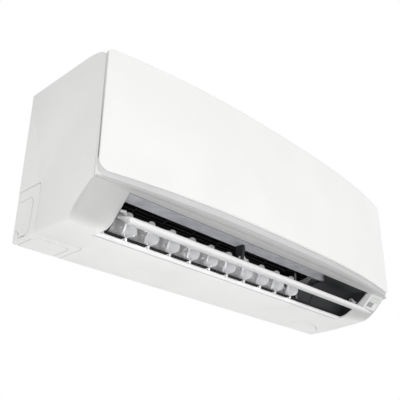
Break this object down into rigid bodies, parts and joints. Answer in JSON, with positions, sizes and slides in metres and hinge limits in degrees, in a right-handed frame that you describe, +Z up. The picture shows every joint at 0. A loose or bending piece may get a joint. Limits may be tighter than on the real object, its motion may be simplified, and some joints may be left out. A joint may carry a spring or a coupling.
{
  "type": "split air conditioner",
  "caption": "Indoor unit of a split air conditioner: bowed front panel, top grille, swinging flap, sideways vanes, coil, fan and wall plate.",
  "frame": {"origin": "centre of the wall plate's back face, on the wall's plane", "axes": "+X along the unit to the viewer's right as seen from the room, +Y into the wall, +Z up; the front faces -Y"},
  "size_m": [0.8, 0.241, 0.272],
  "materials": {
    "white_plastic": "satin moulded plastic",
    "gloss_white_plastic": "high gloss",
    "flap_plastic": "satin moulded plastic",
    "grey_plastic": "fine matte",
    "vane_plastic": "fine matte",
    "light_grey_plastic": "satin",
    "silver_grey_plastic": "fine matte, faintly metallic",
    "charcoal_plastic": "fine matte",
    "black_plastic": "satin",
    "filter_plastic": "fine net in a frame",
    "window_plastic": "clear, gloss",
    "receiver_plastic": "gloss",
    "circuit_board": "coated board",
    "rubber": "matte",
    "zinc_sheet": "zinc-coated sheet",
    "motor_shell": "pressed steel",
    "shaft_steel": "ground",
    "coil_fins": "thin fins",
    "copper": "drawn copper tube",
    "brass": "turned"
  },
  "bodies": {
    "wall_unit": {"mounting_plate": "zinc_sheet", "chassis": "grey_plastic", "casing": "white_plastic", "corner_cover": "white_plastic", "knockout_plate": "white_plastic", "outlet_lip": "grey_plastic", "vane_base": "grey_plastic", "duct_end": "grey_plastic", "outlet_blank": "charcoal_plastic", "drain_pan": "silver_grey_plastic", "flap_bracket": "charcoal_plastic", "coil_front_lower": "coil_fins", "coil_front_upper": "coil_fins", "coil_rear": "coil_fins", "tube_plate_left": "zinc_sheet", "tube_plate_right": "zinc_sheet", "liquid_pipe": "copper", "gas_pipe": "copper", "liquid_nut": "brass", "gas_nut": "brass", "fan_bearing": "rubber", "fan_motor": "motor_shell", "motor_clamp": "grey_plastic", "control_box": "grey_plastic", "control_board": "circuit_board", "terminal_block": "white_plastic", "control_cover": "zinc_sheet", "display_bezel": "light_grey_plastic", "display_window": "window_plastic", "receiver_window": "receiver_plastic", "flap_motor": "white_plastic", "vane_motor": "white_plastic"},
    "fan_rotor": {"fan": "black_plastic", "motor_shaft": "shaft_steel"},
    "flap_blade": {"flap": "flap_plastic"},
    "front_cover": {"front_panel": "gloss_white_plastic"},
    "left_filter": {"filter_left": "filter_plastic"},
    "right_filter": {"filter_right": "filter_plastic"},
    "button": {"run_button": "white_plastic"},
    "link_bar": {"vane_link": "grey_plastic"},
    "vane_01_body": {"vane_01": "vane_plastic"},
    "vane_02_body": {"vane_02": "vane_plastic"},
    "vane_03_body": {"vane_03": "vane_plastic"},
    "vane_04_body": {"vane_04": "vane_plastic"},
    "vane_05_body": {"vane_05": "vane_plastic"},
    "vane_06_body": {"vane_06": "vane_plastic"},
    "vane_07_body": {"vane_07": "vane_plastic"},
    "vane_08_body": {"vane_08": "vane_plastic"},
    "vane_09_body": {"vane_09": "vane_plastic"},
    "vane_10_body": {"vane_10": "vane_plastic"}
  },
  "joints": [
    {"name": "fan_spin", "type": "hinge", "parent": "wall_unit", "child": "fan_rotor", "pos_m": [0, -0.112, -0.02802], "axis": [1, 0, 0], "continuous": true},
    {"name": "flap_tilt", "type": "hinge", "parent": "wall_unit", "child": "flap_blade", "pos_m": [0, -0.1625, -0.103], "axis": [1, 0, 0], "range_deg": [-57, 40]},
    {"name": "panel_lift", "type": "hinge", "parent": "wall_unit", "child": "front_cover", "pos_m": [0, -0.199, 0.121], "axis": [-1, 0, 0], "range_deg": [0, 60]},
    {"name": "filter_left_slide", "type": "slide", "parent": "wall_unit", "child": "left_filter", "axis": [0, 0, 1], "range_m": [0, 0.2]},
    {"name": "filter_right_slide", "type": "slide", "parent": "wall_unit", "child": "right_filter", "axis": [0, 0, 1], "range_m": [0, 0.2]},
    {"name": "button_press", "type": "slide", "parent": "wall_unit", "child": "button", "axis": [0, 1, 0], "range_m": [0, 0.001], "stiffness_N_per_m": 400, "springref_m": -0.001},
    {"name": "vane_01_turn", "type": "hinge", "parent": "wall_unit", "child": "vane_01_body", "pos_m": [-0.289, -0.127, -0.1235], "axis": [0, -0.4478, 0.8942], "range_deg": [-70, 6]},
    {"name": "vane_02_turn", "type": "hinge", "parent": "wall_unit", "child": "vane_02_body", "pos_m": [-0.2428, -0.127, -0.1235], "axis": [0, -0.4478, 0.8942], "range_deg": [-70, 6]},
    {"name": "vane_03_turn", "type": "hinge", "parent": "wall_unit", "child": "vane_03_body", "pos_m": [-0.1966, -0.127, -0.1235], "axis": [0, -0.4478, 0.8942], "range_deg": [-70, 6]},
    {"name": "vane_04_turn", "type": "hinge", "parent": "wall_unit", "child": "vane_04_body", "pos_m": [-0.1504, -0.127, -0.1235], "axis": [0, -0.4478, 0.8942], "range_deg": [-70, 6]},
    {"name": "vane_05_turn", "type": "hinge", "parent": "wall_unit", "child": "vane_05_body", "pos_m": [-0.1042, -0.127, -0.1235], "axis": [0, -0.4478, 0.8942], "range_deg": [-70, 6]},
    {"name": "vane_06_turn", "type": "hinge", "parent": "wall_unit", "child": "vane_06_body", "pos_m": [-0.058, -0.127, -0.1235], "axis": [0, -0.4478, 0.8942], "range_deg": [-70, 6]},
    {"name": "vane_07_turn", "type": "hinge", "parent": "wall_unit", "child": "vane_07_body", "pos_m": [-0.0118, -0.127, -0.1235], "axis": [0, -0.4478, 0.8942], "range_deg": [-70, 6]},
    {"name": "vane_08_turn", "type": "hinge", "parent": "wall_unit", "child": "vane_08_body", "pos_m": [0.0344, -0.127, -0.1235], "axis": [0, -0.4478, 0.8942], "range_deg": [-70, 6]},
    {"name": "vane_09_turn", "type": "hinge", "parent": "wall_unit", "child": "vane_09_body", "pos_m": [0.0806, -0.127, -0.1235], "axis": [0, -0.4478, 0.8942], "range_deg": [-70, 6]},
    {"name": "vane_10_turn", "type": "hinge", "parent": "wall_unit", "child": "vane_10_body", "pos_m": [0.1268, -0.127, -0.1235], "axis": [0, -0.4478, 0.8942], "range_deg": [-70, 6]},
    {"name": "link_slide", "type": "slide", "parent": "wall_unit", "child": "link_bar", "axis": [1, 0, 0], "range_m": [-0.0015, 0.0162]}
  ],
  "couplings": [
    {"joint": "vane_02_turn", "follows": "vane_01_turn", "ratio": 1},
    {"joint": "vane_03_turn", "follows": "vane_01_turn", "ratio": 1},
    {"joint": "vane_04_turn", "follows": "vane_01_turn", "ratio": 1},
    {"joint": "vane_05_turn", "follows": "vane_01_turn", "ratio": 1},
    {"joint": "vane_06_turn", "follows": "vane_01_turn", "ratio": 1},
    {"joint": "vane_07_turn", "follows": "vane_01_turn", "ratio": 1},
    {"joint": "vane_08_turn", "follows": "vane_01_turn", "ratio": 1},
    {"joint": "vane_09_turn", "follows": "vane_01_turn", "ratio": 1},
    {"joint": "vane_10_turn", "follows": "vane_01_turn", "ratio": 1},
    {"joint": "link_slide", "follows": "vane_01_turn", "m_per_rad": -0.01313}
  ]
}
